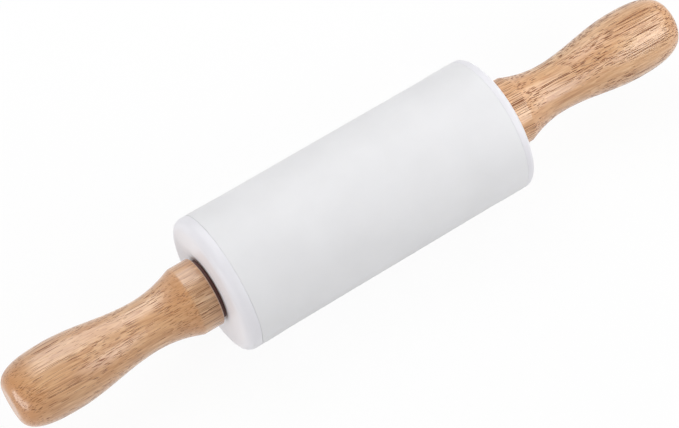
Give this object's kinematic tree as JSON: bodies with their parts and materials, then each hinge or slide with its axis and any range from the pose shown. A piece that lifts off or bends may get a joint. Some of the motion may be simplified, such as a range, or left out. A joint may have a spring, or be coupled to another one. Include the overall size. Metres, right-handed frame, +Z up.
{
  "type": "rolling pin",
  "caption": "Small rolling pin: a smooth silicone roller with plastic end caps turns freely on a steel axle between turned wooden handles with rounded ends.",
  "frame": {"origin": "on the floor under the middle of the roller, at the lowest flat of the silicone sleeve", "axes": "+X along the pin's axis towards the right handle, +Z up from the surface that the roller lies on"},
  "size_m": [0.23, 0.043, 0.043],
  "materials": {
    "silicone": "smooth satin white food-grade silicone",
    "cap_plastic": "satin white moulded plastic",
    "core_plastic": "natural extruded plastic",
    "nylon": "natural moulded nylon",
    "steel": "bright drawn steel",
    "brass": "turned brass",
    "fibre": "dark red-brown pressed fibre",
    "wood": "turned rubberwood under clear lacquer"
  },
  "bodies": {
    "roller": {"silicone_sleeve": "silicone", "core_tube": "core_plastic", "end_cap_left": "cap_plastic", "end_cap_right": "cap_plastic", "bush_left": "nylon", "bush_right": "nylon"},
    "handles": {"axle_rod": "steel", "thrust_washer_left": "fibre", "thrust_washer_right": "fibre", "threaded_insert_left": "brass", "threaded_insert_right": "brass", "handle_left": "wood", "handle_right": "wood"}
  },
  "joints": [
    {"name": "handles_turn", "type": "hinge", "parent": "roller", "child": "handles", "pos_m": [0, 0, 0.0215], "axis": [1, 0, 0], "continuous": true}
  ]
}
